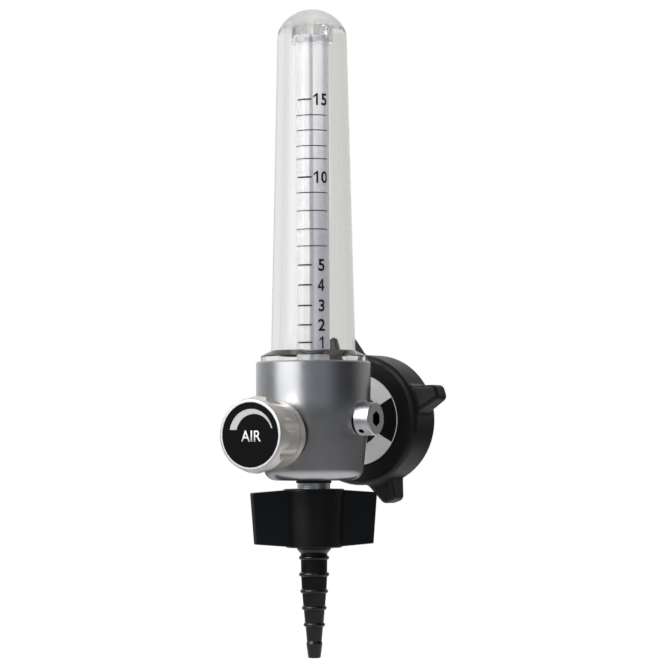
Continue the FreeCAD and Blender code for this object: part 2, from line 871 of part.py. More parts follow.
def make_side_plug_seal():
    """Ring in the groove of the plug's shank."""
    place = side_flat - plug_thread_length + plug_groove_place
    return facing_side(groove_ring(plug_groove_radius, plug_thread_radius, place))


def make_outlet_nipple():
    """Outlet nipple: thread into the body, plain neck and the thread for the wing nut."""
    return turned([
        (nipple_bore, body_bottom + nipple_stem_length),
        (nipple_stem_radius - thread_gap, body_bottom + nipple_stem_length),
        (nipple_stem_radius - thread_gap, nipple_shoulder),
        (nipple_neck_radius, nipple_shoulder),
        (nipple_neck_radius, nipple_thread_top),
        (nipple_thread_radius, nipple_thread_top),
        (nipple_thread_radius, nipple_end),
        (nipple_bore, nipple_end),
    ])


def make_outlet_seal():
    """Washer between the body's underside and the nipple's shoulder."""
    return pipe(outlet_seal_radius, nipple_stem_radius, nipple_shoulder, body_bottom)


def wing_section(reach_bottom, reach_top, thickness, bottom, top):
    """A four-cornered outline across a wing, leaning if its two reaches differ."""
    corners = [
        FreeCAD.Vector(reach_bottom, -thickness / 2, bottom),
        FreeCAD.Vector(reach_bottom, thickness / 2, bottom),
        FreeCAD.Vector(reach_top, thickness / 2, top),
        FreeCAD.Vector(reach_top, -thickness / 2, top),
    ]
    return Part.makePolygon(corners + corners[:1])


def wing(side):
    """One wing of the nut, from inside the hub out to its tip, with rounded edges."""
    root = wing_section(wing_reach_root, wing_reach_root, wing_root_thickness, nut_bottom, nut_top)
    tip = wing_section(wing_reach_bottom, wing_reach_top, wing_tip_thickness,
                       nut_bottom + wing_drop, nut_top - wing_drop)
    blade = Part.makeLoft([root, tip], True, True)
    rounded = [edge for edge in blade.Edges if edge.BoundBox.XMax > wing_reach_root + wing_edge_fillet]
    return spun(blade.makeFillet(wing_edge_fillet, rounded), side)


def make_wing_nut():
    """Moulded hand nut: drafted hub with two wings, threaded hole above, plain hole below."""
    hub = turned([
        (0, nut_bottom),
        (nut_bottom_radius, nut_bottom),
        (nut_top_radius, nut_top),
        (0, nut_top),
    ])
    rounded = ring_edges(hub, nut_top_radius, nut_top) + ring_edges(hub, nut_bottom_radius, nut_bottom)
    hub = hub.makeFillet(nut_edge_fillet, rounded)
    nut = hub.fuse([wing(wing_turn), wing(wing_turn + 180)]).removeSplitter()
    cuts = [
        rod(nipple_thread_radius + running_gap, nut_floor, nut_top),
        rod(tail_neck_radius + running_gap, nut_bottom, nut_floor),
    ]
    return nut.cut(cuts)


def make_hose_tail():
    """Barbed hose tail: head held in the nut, neck, collar, round beads and a barbed tip."""
    collar_foot = nut_bottom - turning_gap / 2 - tail_collar_height
    points = [
        (tail_bore, tail_top),
        (tail_head_radius, tail_top),
        (tail_head_radius, nut_floor),
        (tail_neck_radius, nut_floor),
        (tail_neck_radius, nut_bottom - turning_gap / 2),
        (tail_collar_radius, nut_bottom - turning_gap / 2),
        (tail_collar_radius, collar_foot),
        (shank_starts[0], collar_foot - tail_collar_cone),
    ]
    bead_places = [nut_bottom - bead_start - step * bead_pitch for step in range(len(bead_radii))]
    barb = tail_end + tail_barb_height
    for place, above, below in zip(bead_places, shank_ends, shank_starts[1:]):
        points.append((above, place))
        points.append((below, place))
    points += [
        (shank_ends[-1], barb + tail_barb_back),
        (tail_barb_radius, barb),
        (tail_tip_radius, tail_end),
        (tail_bore, tail_end),
    ]
    tail = turned(points)
    for place, radius in zip(bead_places, bead_radii):
        tail = tail.fuse(soft_ring(radius - bead_half_height, bead_half_height, place))
    tip = ring_edges(tail, tail_tip_radius, tail_end)
    return tail.makeFillet(tail_tip_fillet, tip)


def make_outlet_gasket():
    """Flat washer between the nipple's end and the tail's head."""
    return pipe(gasket_radius, nipple_bore, tail_top, nipple_end)


PIECES = {
    "valve_body": make_valve_body,
    "tube_cover": make_tube_cover,
    "cover_seal": make_cover_seal,
    "flow_tube": make_flow_tube,
    "tube_top_guide": make_tube_top_guide,
    "tube_base_seal": make_tube_base_seal,
    "tube_seat": make_tube_seat,
    "float_ball": make_float_ball,
    "inlet_extension": make_inlet_extension,
    "inlet_extension_seal": make_inlet_extension_seal,
    "inlet_stem": make_inlet_stem,
    "inlet_filter": make_inlet_filter,
    "index_sleeve": make_index_sleeve,
    "probe_seal": make_probe_seal,
    "handwheel": make_handwheel,
    "handwheel_insert": make_handwheel_insert,
    "handwheel_label": make_handwheel_label,
    "valve_bonnet": make_valve_bonnet,
    "bonnet_seal": make_bonnet_seal,
    "needle_spindle": make_needle_spindle,
    "spindle_oring": make_spindle_oring,
    "control_knob": make_control_knob,
    "knob_label": make_knob_label,
    "knob_screw": make_knob_screw,
    "side_plug": make_side_plug,
    "side_plug_seal": make_side_plug_seal,
    "outlet_nipple": make_outlet_nipple,
    "outlet_seal": make_outlet_seal,
    "wing_nut": make_wing_nut,
    "hose_tail": make_hose_tail,
    "outlet_gasket": make_outlet_gasket,
}

os.makedirs("parts", exist_ok=True)
for name, make in PIECES.items():
    piece = make()
    piece.translate(FreeCAD.Vector(0, -inlet_seat, 0))
    if len(piece.Solids) != 1 or not piece.isValid():
        raise ValueError(f"{name} has {len(piece.Solids)} solids, valid: {piece.isValid()}")
    piece.Solids[0].exportStep(f"parts/{name}.step")
    print(f"{name} {piece.Volume:.1f} mm3")
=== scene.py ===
import math

import bmesh
import bpy
from mathutils import Euler, Matrix, Vector


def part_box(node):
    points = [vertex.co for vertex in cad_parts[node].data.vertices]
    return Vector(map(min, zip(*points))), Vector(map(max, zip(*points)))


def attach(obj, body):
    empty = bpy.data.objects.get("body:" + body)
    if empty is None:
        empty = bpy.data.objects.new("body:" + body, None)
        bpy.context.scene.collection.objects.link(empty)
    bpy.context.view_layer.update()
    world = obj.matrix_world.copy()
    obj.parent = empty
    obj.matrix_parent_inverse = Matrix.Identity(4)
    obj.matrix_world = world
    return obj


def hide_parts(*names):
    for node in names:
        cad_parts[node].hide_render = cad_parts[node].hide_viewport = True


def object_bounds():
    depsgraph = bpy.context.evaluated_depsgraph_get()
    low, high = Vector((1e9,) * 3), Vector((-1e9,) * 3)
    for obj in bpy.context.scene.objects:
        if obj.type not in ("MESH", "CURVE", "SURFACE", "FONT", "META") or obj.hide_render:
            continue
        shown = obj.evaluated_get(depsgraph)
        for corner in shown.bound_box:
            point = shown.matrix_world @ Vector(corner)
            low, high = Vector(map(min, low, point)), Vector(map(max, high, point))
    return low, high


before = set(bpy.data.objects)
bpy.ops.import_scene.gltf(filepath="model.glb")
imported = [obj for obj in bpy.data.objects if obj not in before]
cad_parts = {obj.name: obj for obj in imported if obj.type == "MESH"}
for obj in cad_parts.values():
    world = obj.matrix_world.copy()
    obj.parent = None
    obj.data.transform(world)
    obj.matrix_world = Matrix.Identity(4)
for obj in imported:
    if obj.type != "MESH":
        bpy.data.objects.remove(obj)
cad_low, cad_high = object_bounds()


# Camera
# The photograph was taken a little below the inlet's height from about a metre away, thirty
# degrees round from the knob's side, with a long lens that tilts slightly up.
VIEW_TURN = math.radians(30.0)
VIEW_RISE = math.radians(2.187)
VIEW_ROLL = math.radians(-0.22)
VIEW_DISTANCE = 0.9946
EYE_HEIGHT = -0.0095
SENSOR_WIDTH = 36.0
LENS_LENGTH = 161.9
LENS_SHIFT = 0.0304

tube_low, tube_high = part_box("flow_tube")
tube_axis = (tube_low + tube_high) / 2

view = bpy.data.cameras.new("photo_view")
view.sensor_width = SENSOR_WIDTH
view.lens = LENS_LENGTH
view.shift_x = LENS_SHIFT
camera = bpy.data.objects.new("photo_view", view)
camera.location = (
    tube_axis.x + VIEW_DISTANCE * math.sin(VIEW_TURN),
    tube_axis.y - VIEW_DISTANCE * math.cos(VIEW_TURN),
    EYE_HEIGHT,
)
upright = Euler((math.pi / 2 + VIEW_RISE, 0.0, VIEW_TURN)).to_matrix()
camera.rotation_euler = (upright @ Matrix.Rotation(VIEW_ROLL, 3, "Z")).to_euler()
bpy.context.scene.collection.objects.link(camera)
bpy.context.scene.camera = camera


# Valve body
# A turned brass block, bead blasted and then chrome plated, into which the other pieces screw. The
# cover's socket is left bare, and its brass is painted dark brown as the shade inside it. The blasted
# grain shows the studio's lights as broad soft bands.
BODY_PLATE = "#CFD0D3"
BODY_ROUGHNESS = 0.30
# Bare brass, painted dark brown as the shade inside the cover's socket.
SOCKET_BRASS_AND_SHADE = "#5A4838"
BLAST_GRAIN = 0.0004       # drawn coarser than the real 0.05 mm beads, so that it shows
BLAST_DEPTH = 0.000004
SOCKET_RADIUS = 0.0155
SOCKET_DEPTH = 0.011
END_MARGIN = 0.0001        # leaves a piece's flat ends out of its inside's finish
EVEN = (1, 1, 1)           # the grain is as fine one way as another
NOISE_LOW = 0.3            # nearly all of a noise lies between these two values
NOISE_HIGH = 0.7
GLOSS_PATCH = 22           # grains across a patch over which the gloss wanders
PLATE_SPREAD = 0.04


def linear(code):
    """The linear colour of an sRGB hex code."""
    values = [int(code[place:place + 2], 16) / 255 for place in (1, 3, 5)]
    return [v / 12.92 if v <= 0.04045 else ((v + 0.055) / 1.055) ** 2.4 for v in values] + [1.0]


def new_material(name):
    """An empty node material."""
    material = bpy.data.materials.new(name)
    material.use_nodes = True
    material.node_tree.nodes.clear()
    return material


def add_node(material, kind, settings=(), links=()):
    """Adds a node; each setting is a socket's value or a property, and each link feeds a socket."""
    node = material.node_tree.nodes.new(kind)
    for name, value in dict(settings).items():
        if isinstance(name, int) or name in node.inputs:
            node.inputs[name].default_value = value
        else:
            setattr(node, name, value)
    for name, output in dict(links).items():
        material.node_tree.links.new(output, node.inputs[name])
    return node


def surface(material, shader):
    """Makes a shader the material's surface."""
    add_node(material, "ShaderNodeOutputMaterial", links={"Surface": shader.outputs[0]})
    return material


def grain_and_gloss(material, grain, depth, roughness, spread, stretch=EVEN):
    """A roughness that wanders slowly over the surface, and the normal of a bump of that grain."""
    place = add_node(material, "ShaderNodeTexCoord")
    laid = add_node(
        material, "ShaderNodeMapping", {"Scale": stretch}, {"Vector": place.outputs["Object"]},
    )
    fine = add_node(
        material, "ShaderNodeTexNoise",
        {"Scale": 1 / grain, "Detail": 3.0, "Roughness": 0.6}, {"Vector": laid.outputs["Vector"]},
    )
    slow = add_node(
        material, "ShaderNodeTexNoise",
        {"Scale": 1 / (grain * GLOSS_PATCH), "Detail": 4.0}, {"Vector": laid.outputs["Vector"]},
    )
    gloss = add_node(
        material, "ShaderNodeMapRange",
        {
            "From Min": NOISE_LOW, "From Max": NOISE_HIGH,
            "To Min": roughness - spread, "To Max": roughness + spread,
        },
        {"Value": slow.outputs["Fac"]},
    )
    bump = add_node(
        material, "ShaderNodeBump", {"Strength": 1.0, "Distance": depth},
        {"Height": fine.outputs["Fac"]},
    )
    return gloss.outputs["Result"], bump.outputs["Normal"]


def plated_metal(name, colour, roughness, grain, depth, stretch=EVEN):
    """A metal whose grain breaks up its gloss."""
    material = new_material(name)
    gloss, normal = grain_and_gloss(material, grain, depth, roughness, PLATE_SPREAD, stretch)
    metal = add_node(
        material, "ShaderNodeBsdfPrincipled",
        {"Base Color": linear(colour), "Metallic": 1.0},
        {"Roughness": gloss, "Normal": normal},
    )
    return surface(material, metal)


def dress(node, material):
    """Gives a CAD node its finish."""
    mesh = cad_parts[node].data
    mesh.materials.clear()
    mesh.materials.append(material)


def dress_inside(node, material, radius, floor, ceiling):
    """Gives a second finish to a CAD node's faces close to the tube's axis, between two heights."""
    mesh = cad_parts[node].data
    mesh.materials.append(material)
    for face in mesh.polygons:
        off_axis = math.hypot(face.center.x - tube_axis.x, face.center.y - tube_axis.y)
        if off_axis < radius and floor < face.center.z < ceiling:
            face.material_index = len(mesh.materials) - 1


satin_chrome = plated_metal(
    "satin_chrome_plate", BODY_PLATE, roughness=BODY_ROUGHNESS, grain=BLAST_GRAIN, depth=BLAST_DEPTH,
)
# The socket's faces get bare brass with painted shade.
bare_socket_and_shade = plated_metal(
    "bare_brass_socket_painted_shade", SOCKET_BRASS_AND_SHADE, roughness=0.4, grain=BLAST_GRAIN, depth=BLAST_DEPTH,
)
body_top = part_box("valve_body")[1].z
dress("valve_body", satin_chrome)
dress_inside(
    "valve_body", bare_socket_and_shade, SOCKET_RADIUS, body_top - SOCKET_DEPTH, body_top - END_MARGIN,
)


# Tube seat and body fittings
# Turned brass pieces with chrome plate, screwed into the body: the seat for the flow tube, the
# extension at the back, the bonnet behind the knob and the plug at the side. Turning leaves rings.
BRIGHT_PLATE = "#D9DADD"
BRIGHT_ROUGHNESS = 0.16
BRIGHT_DEPTH = 0.0000008
SATIN_DEPTH = 0.000001
TURNING_PITCH = 0.00012
RINGS_ROUND_X = (1, 0.1, 0.1)
RINGS_ROUND_Y = (0.1, 1, 0.1)
RINGS_ROUND_Z = (0.1, 0.1, 1)
PLUG_SKIN = 0.0003         # deeper than this, the plug's faces are those of its socket and holes

bright_chrome = plated_metal(
    "bright_chrome_plate", BRIGHT_PLATE, roughness=BRIGHT_ROUGHNESS,
    grain=TURNING_PITCH, depth=BRIGHT_DEPTH, stretch=RINGS_ROUND_Z,
)
bright_chrome_across = plated_metal(
    "bright_chrome_plate_across", BRIGHT_PLATE, roughness=BRIGHT_ROUGHNESS,
    grain=TURNING_PITCH, depth=BRIGHT_DEPTH, stretch=RINGS_ROUND_Y,
)
satin_plug = plated_metal(
    "satin_plug_plate", BRIGHT_PLATE, roughness=0.36,
    grain=TURNING_PITCH, depth=SATIN_DEPTH, stretch=RINGS_ROUND_X,
)
# Painted shade: the plug's hex socket and holes are painted near black, as the shade deep inside
# them.
painted_shade_socket = plated_metal(
    "plug_socket_painted_shade", "#15120F", roughness=0.5, grain=TURNING_PITCH, depth=SATIN_DEPTH,
)
dress("tube_seat", bright_chrome)
dress("inlet_extension", bright_chrome_across)
dress("valve_bonnet", bright_chrome_across)
dress("side_plug", satin_plug)
plug_low, plug_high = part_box("side_plug")
plug_axis = (plug_low + plug_high) / 2
plug_radius = plug_high.y - plug_axis.y
plug_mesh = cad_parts["side_plug"].data
# The faces of the socket and holes get the painted shade.
plug_mesh.materials.append(painted_shade_socket)
for face in plug_mesh.polygons:
    off_axis = math.hypot(face.center.y - plug_axis.y, face.center.z - plug_axis.z)
    if off_axis < plug_radius - PLUG_SKIN and face.center.x < plug_high.x - PLUG_SKIN:
        face.material_index = 1


# Rubber rings and washers
# Moulded nitrile rubber, black and dull, in the grooves and under the screwed fittings. The rings
# that touch the clear plastic are pale silicone.
RUBBER_GRAIN = 0.0003
MOULD_SPREAD = 0.05
PLASTIC_IOR = 1.5


def moulded(name, colour, roughness, grain, depth, shine=0.5):
    """A moulded plastic or rubber with the fine grain of its mould."""
    material = new_material(name)
    gloss, normal = grain_and_gloss(material, grain, depth, roughness, MOULD_SPREAD)
    shader = add_node(
        material, "ShaderNodeBsdfPrincipled",
        {"Base Color": linear(colour), "IOR": PLASTIC_IOR, "Specular IOR Level": shine},
        {"Roughness": gloss, "Normal": normal},
    )
    return surface(material, shader)


nitrile = moulded("nitrile_rubber", "#1B1B1B", roughness=0.6, grain=RUBBER_GRAIN, depth=0.00001)
silicone = moulded("pale_silicone", "#DEDDD8", roughness=0.45, grain=RUBBER_GRAIN, depth=0.000006)
for node in (
    "inlet_extension_seal", "probe_seal", "bonnet_seal", "spindle_oring", "side_plug_seal",
    "outlet_seal", "outlet_gasket",
):
    dress(node, nitrile)
for node in ("cover_seal", "tube_base_seal"):
    dress(node, silicone)


# Clear cover and tube guide
# The cover is injection moulded polycarbonate, water clear with a softer dome, and screws into the
# body. Its thick wall bends what is behind it. The guide is a clear ring pushed up under the dome.
COVER_TINT = "#F8F8F7"
GUIDE_TINT = "#ECEDEE"
CLEAR_GLEAM = "#737373"    # dims the softboxes' reflection, through which the print has to show
POLYCARBONATE_IOR = 1.585
ACRYLIC_IOR = 1.49
WATER_CLEAR = 0.03         # the roughness that a polished mould leaves
CLEAR_WAVE = 0.006         # the slow unevenness of a thick moulded wall
CLEAR_WAVE_DEPTH = 0.00002
FROST_RISE = 0.002         # over which the clear wall turns into the softer dome
FROST_ROUGHNESS = 0.22
FROST_CLEARNESS = 0.68     # share of the dome that is seen straight through


def place_parts(material):
    """The X, Y and Z of a place on the object."""
    place = add_node(material, "ShaderNodeTexCoord")
    return add_node(
        material, "ShaderNodeSeparateXYZ", links={0: place.outputs["Object"]},
    ).outputs


def clear_plastic(name, tint, roughness, ior, frost_height):
    """A wavy clear moulding, soft above a height, that light passes on its way to the inside."""
    material = new_material(name)
    gloss, normal = grain_and_gloss(material, CLEAR_WAVE, CLEAR_WAVE_DEPTH, roughness, roughness / 2)
    frost = add_node(
        material, "ShaderNodeMapRange",
        {"From Min": frost_height, "From Max": frost_height + FROST_RISE},
        {"Value": place_parts(material)["Z"]},
    )
    softness = add_node(
        material, "ShaderNodeMix", {"data_type": "FLOAT", 3: FROST_ROUGHNESS},
        {0: frost.outputs["Result"], 2: gloss},
    )
    clear = add_node(
        material, "ShaderNodeBsdfPrincipled",
        {
            "Base Color": linear(tint), "Specular Tint": linear(CLEAR_GLEAM),
            "IOR": ior, "Transmission Weight": 1.0,
        },
        {"Roughness": softness.outputs[0], "Normal": normal},
    )
    through = add_node(material, "ShaderNodeBsdfTransparent", {"Color": linear(tint)})
    path = add_node(material, "ShaderNodeLightPath")
    straight = add_node(
        material, "ShaderNodeMath", {"operation": "MULTIPLY", 1: FROST_CLEARNESS},
        {0: frost.outputs["Result"]},
    )
    share = add_node(
        material, "ShaderNodeMath", {"operation": "MAXIMUM"},
        {0: path.outputs["Is Shadow Ray"], 1: straight.outputs[0]},
    )
    both = add_node(
        material, "ShaderNodeMixShader",
        links={0: share.outputs[0], 1: clear.outputs[0], 2: through.outputs[0]},
    )
    return surface(material, both)


cover_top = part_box("tube_cover")[1].z
guide_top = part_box("tube_top_guide")[1].z
dress("tube_cover", clear_plastic(
    "clear_polycarbonate", COVER_TINT, roughness=WATER_CLEAR, ior=POLYCARBONATE_IOR,
    frost_height=guide_top - FROST_RISE,
))
dress("tube_top_guide", clear_plastic(
    "clear_guide_plastic", GUIDE_TINT, roughness=0.12, ior=ACRYLIC_IOR, frost_height=cover_top,
))


# Flow tube
# A thick moulded tube with a milky outside and a clear bore, held between the seat and the guide.
# Light and shade are painted on it in bands by bearing: white on the knob's side, then a thin dark
# line, a pale stripe and lavender grey, lighter higher up.
# Painted light and shade: the lit and the shaded sides of the tube, as colour bands by bearing round
# it.
LOW_PAINTED_LIGHT_BANDS = (
    (-75.0, "#DEDEE2"), (-55.0, "#E6E6EA"), (17.0, "#E4E4E8"), (21.0, "#A09EA9"),
    (31.0, "#A09EA9"), (35.0, "#C4C2CD"), (45.0, "#BEBCC7"), (52.0, "#B3B1BC"),
    (90.0, "#AFADB8"), (125.0, "#D8D7DC"),
)
HIGH_PAINTED_LIGHT_BANDS = (
    (-75.0, "#DADADD"), (-55.0, "#E0E0E3"), (19.0, "#DEDEE1"), (23.0, "#B4B2BA"),
    (30.0, "#B4B2BA"), (34.0, "#F8F8FC"), (62.0, "#F6F6FA"), (74.0, "#C9C8D0"),
    (100.0, "#C9C8D0"), (125.0, "#E2E1E6"),
)
LOW_HEIGHT = 0.06          # the low bands reach up to here, and the high ones start at the next
HIGH_HEIGHT = 0.11
MILKY_CLEARNESS = 0.5
BORE_REACH = 0.0047        # takes in the bore, whose clear wall lets the float show


def colour_bands(material, stops, share):
    """A colour ramp through (bearing, colour) stops, fed by a share of a turn."""
    node = add_node(material, "ShaderNodeValToRGB", links={"Fac": share})
    ramp = node.color_ramp
    while len(ramp.elements) < len(stops):
        ramp.elements.new(1.0)
    for element, (bearing, colour) in zip(ramp.elements, stops):
        element.position = 0.5 + bearing / 360
        element.color = linear(colour)
    return node.outputs["Color"]


def turn_share(material, sideways, forwards):
    """The bearing of a direction as a share of a turn: 0.5 is straight forwards."""
    turn = add_node(
        material, "ShaderNodeMath", {"operation": "ARCTAN2"}, {0: sideways, 1: forwards},
    )
    share = add_node(
        material, "ShaderNodeMapRange", {"From Min": -math.pi, "From Max": math.pi},
        {"Value": turn.outputs[0]},
    )
    return share.outputs["Result"]


tube_painted_light = new_material("milky_tube_painted_light")
place = add_node(tube_painted_light, "ShaderNodeTexCoord")
from_axis = add_node(
    tube_painted_light, "ShaderNodeVectorMath", {"operation": "SUBTRACT", 1: tube_axis},
    {0: place.outputs["Object"]},
)
parts = add_node(tube_painted_light, "ShaderNodeSeparateXYZ", links={0: from_axis.outputs[0]})
frontwards = add_node(
    tube_painted_light, "ShaderNodeMath", {"operation": "MULTIPLY", 1: -1.0}, {0: parts.outputs["Y"]},
)
share = turn_share(tube_painted_light, parts.outputs["X"], frontwards.outputs[0])
# The painted bands blend from the low set into the lighter high set going up the tube.
climb = add_node(
    tube_painted_light, "ShaderNodeMapRange", {"From Min": LOW_HEIGHT, "From Max": HIGH_HEIGHT},
    {"Value": place_parts(tube_painted_light)["Z"]},
)
bands = add_node(
    tube_painted_light, "ShaderNodeMix", {"data_type": "RGBA"},
    {
        0: climb.outputs["Result"],
        6: colour_bands(tube_painted_light, LOW_PAINTED_LIGHT_BANDS, share),
        7: colour_bands(tube_painted_light, HIGH_PAINTED_LIGHT_BANDS, share),
    },
)
gloss, normal = grain_and_gloss(tube_painted_light, grain=0.004, depth=0.00001, roughness=0.14, spread=0.04)
tube_shader = add_node(
    tube_painted_light, "ShaderNodeBsdfPrincipled",
    {"IOR": ACRYLIC_IOR, "Transmission Weight": MILKY_CLEARNESS},
    {"Base Color": bands.outputs[2], "Roughness": gloss, "Normal": normal},
)
surface(tube_painted_light, tube_shader)
clear_bore = clear_plastic(
    "clear_tube_bore", "#FFFFFF", roughness=WATER_CLEAR, ior=ACRYLIC_IOR, frost_height=cover_top,
)
dress("flow_tube", tube_painted_light)
dress_inside("flow_tube", clear_bore, BORE_REACH, tube_low.z + END_MARGIN, tube_high.z - END_MARGIN)


# Scale print
# Black ink printed on the flow tube's outside: bold ticks with large numerals at 1 to 5, 10 and 15,
# and long thin ticks between. Bearings go round the tube from the knob's side towards the plug.
PRINT_THICKNESS = 0.00003
PRINT_LIFT = 0.00001
TICK_HEIGHTS = {
    1: 0.0253, 2: 0.0311, 3: 0.0375, 4: 0.0443, 5: 0.0509, 6: 0.0572, 7: 0.0628, 8: 0.0689,
    9: 0.0749, 10: 0.0800, 11: 0.0861, 12: 0.0904, 13: 0.0956, 14: 0.1006, 15: 0.1058,
}
NUMERALS = {
    1: (("1", 63.5),), 2: (("2", 60.0),), 3: (("3", 60.0),), 4: (("4", 59.0),), 5: (("5", 60.0),),
    10: (("1", 45.5), ("0", 73.0)), 15: (("1", 45.5), ("5", 73.0)),
}
BOLD_TICK = 0.0005
FINE_TICK = 0.0003
BOLD_SPAN = (-32.0, 26.5)
FINE_SPAN = (-44.0, 86.0)
NUMERAL_HEIGHT = 0.0040
NUMERAL_WEIGHT = 0.022
LETTER_WELD = 0.0001       # a share of the letters' size before they are scaled
ONE_OUTLINE = (
    (-0.075, -0.5), (0.075, -0.5), (0.075, 0.5), (-0.04, 0.5),
    (-0.3, 0.26), (-0.3, 0.12), (-0.075, 0.27),
)
FOUR_OUTLINE = (
    (0.02, -0.5), (0.19, -0.5), (0.19, -0.28), (0.3, -0.28), (0.3, -0.12), (0.19, -0.12),
    (0.19, 0.5), (0.03, 0.5), (-0.3, -0.12), (-0.3, -0.28), (0.02, -0.28),
)
FOUR_EYE = ((0.02, -0.12), (0.02, 0.2), (-0.15, -0.12))
DRAWN_FIGURES = {"1": (ONE_OUTLINE,), "4": (FOUR_OUTLINE, FOUR_EYE)}
WRAP_STEP = math.radians(4)
CUT_TOLERANCE = 1e-8

black_ink = moulded(
    "black_printed_ink", "#060606", roughness=0.6, grain=0.0005, depth=0.000003, shine=0.1,
)
tube_radius = (tube_high.x - tube_low.x) / 2


def thicken(shape, thickness):
    """Gives a flat sheet that faces -Y a thickness on that side."""
    made = bmesh.ops.extrude_face_region(shape, geom=shape.faces[:], use_keep_orig=True)
    front = [part for part in made["geom"] if isinstance(part, bmesh.types.BMVert)]
    bmesh.ops.translate(shape, vec=(0, -thickness, 0), verts=front)
    bmesh.ops.recalc_face_normals(shape, faces=shape.faces)


def lettering(words, height, weight):
    """Closed letters in the XZ plane, centred, with their faces towards -Y."""
    curve = bpy.data.curves.new(words, "FONT")
    curve.body = words
    curve.offset = weight
    holder = bpy.data.objects.new(words, curve)
    bpy.context.scene.collection.objects.link(holder)
    bpy.context.view_layer.update()
    drawn = holder.evaluated_get(bpy.context.evaluated_depsgraph_get())
    flat = bpy.data.meshes.new_from_object(drawn)
    bpy.data.objects.remove(holder)
    shape = bmesh.new()
    shape.from_mesh(flat)
    bpy.data.meshes.remove(flat)
    bmesh.ops.remove_doubles(shape, verts=shape.verts, dist=LETTER_WELD)
    low = Vector([min(vertex.co[axis] for vertex in shape.verts) for axis in range(3)])
    high = Vector([max(vertex.co[axis] for vertex in shape.verts) for axis in range(3)])
    centred = Matrix.Translation(-(low + high) / 2)
    sized = Matrix.Scale(height / (high.y - low.y), 4)
    stood_up = Matrix.Rotation(math.pi / 2, 4, "X")
    bmesh.ops.transform(shape, matrix=stood_up @ sized @ centred, verts=shape.verts)
    thicken(shape, PRINT_THICKNESS)
    return shape


def drawn_figure(loops, height):
    """A figure between its outline and its eye, whose points are shares of its height."""
    shape = bmesh.new()
    for loop in loops:
        corners = [shape.verts.new((x * height, 0, z * height)) for x, z in loop]
        for first, second in zip(corners, corners[1:] + corners[:1]):
            shape.edges.new((first, second))
    bmesh.ops.triangle_fill(shape, use_beauty=True, edges=shape.edges[:])
    thicken(shape, PRINT_THICKNESS)
    return shape


def tick(span, thickness):
    """A flat line as long as a stretch of bearings round the tube."""
    length = tube_radius * math.radians(span[1] - span[0])
    stood_up = Matrix.Rotation(math.pi / 2, 3, "X")
    shape = bmesh.new()
    bmesh.ops.create_grid(shape, x_segments=1, y_segments=1, size=0.5)
    bmesh.ops.scale(shape, vec=(length, thickness, 1), verts=shape.verts)
    bmesh.ops.rotate(shape, cent=(0, 0, 0), matrix=stood_up, verts=shape.verts)
    thicken(shape, PRINT_THICKNESS)
    return shape


def wrap(shape, bearing, height):
    """Bends a flat print round the flow tube, at a bearing and a height."""
    step = tube_radius * WRAP_STEP
    reach = max(abs(vertex.co.x) for vertex in shape.verts)
    for index in range(-int(reach / step), int(reach / step) + 1):
        parts = shape.verts[:] + shape.edges[:] + shape.faces[:]
        bmesh.ops.bisect_plane(
            shape, geom=parts, dist=CUT_TOLERANCE,
            plane_co=(index * step, 0, 0), plane_no=(1, 0, 0),
        )
    for vertex in shape.verts:
        turn = math.radians(bearing) + vertex.co.x / tube_radius
        out = tube_radius + PRINT_LIFT - vertex.co.y
        vertex.co = (
            tube_axis.x + out * math.sin(turn),
            tube_axis.y - out * math.cos(turn),
            height + vertex.co.z,
        )


def make_piece(name, shapes, material, body):
    """Joins bmesh shapes into one piece that rides on a body."""
    mesh = bpy.data.meshes.new(name)
    joined = bmesh.new()
    for shape in shapes:
        part = bpy.data.meshes.new(name)
        shape.to_mesh(part)
        shape.free()
        joined.from_mesh(part)
        bpy.data.meshes.remove(part)
    joined.to_mesh(mesh)
    joined.free()
    mesh.materials.append(material)
    piece = bpy.data.objects.new(name, mesh)
    bpy.context.scene.collection.objects.link(piece)
    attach(piece, body)
    return piece


prints = []
for litres, height in TICK_HEIGHTS.items():
    span, thickness = (BOLD_SPAN, BOLD_TICK) if litres in NUMERALS else (FINE_SPAN, FINE_TICK)
    line = tick(span, thickness)
    wrap(line, sum(span) / 2, height)
    prints.append(line)
    for figure, bearing in NUMERALS.get(litres, ()):
        if figure in DRAWN_FIGURES:
            numeral = drawn_figure(DRAWN_FIGURES[figure], NUMERAL_HEIGHT)
        else:
            numeral = lettering(figure, NUMERAL_HEIGHT, NUMERAL_WEIGHT)
        wrap(numeral, bearing, height)
        prints.append(numeral)
make_piece("scale_print", prints, black_ink, "root")


# Float
# A ground steel ball. It rests loose on the seat's nozzle until gas lifts it up the tube's bore,
# where it shows through the wall.
dress("float_ball", plated_metal(
    "ground_steel_ball", "#B9BBBF", roughness=0.12, grain=0.0003, depth=0.000001,
))


# Inlet stem, sleeve and filter
# Bare turned brass behind the wheel: the stem with its collar and probe, screwed into the extension,
# and the index sleeve round it. The filter in the probe's mouth is sintered bronze, rough and porous.
turned_brass = plated_metal(
    "turned_brass", "#C7A468", roughness=0.24, grain=0.00015, depth=0.0000015, stretch=RINGS_ROUND_Y,
)
for node in ("inlet_stem", "index_sleeve"):
    dress(node, turned_brass)
dress("inlet_filter", plated_metal(
    "sintered_bronze", "#9C7E55", roughness=0.55, grain=0.00025, depth=0.00006,
))


# Handwheel
# Moulded glass-filled nylon, satin black, with four finger lobes, free to turn on the stem. The
# mould's fine texture keeps its highlights broad and dim.
dress("handwheel", moulded(
    "satin_black_nylon", "#0C0B0A", roughness=0.38, grain=0.00035, depth=0.00001, shine=0.4,
))


# Handwheel insert
# A turned brass ring pressed in the wheel's hollow. It screws onto the wall outlet, with a
# rounded thread of two millimetres pitch on its inside.
INSERT_WALL = 0.00145
INSERT_PITCH = 0.002
INSERT_DEPTH = 0.0008
THREAD_STEPS = 8           # rows of faces in one pitch
ROUND_STEPS = 96
WELD = 1e-7
SAME_HEIGHT = 1e-6
SHARP_ANGLE = math.radians(40)
RUN_OUT = 0.5              # of a pitch, over which the thread's ends fade


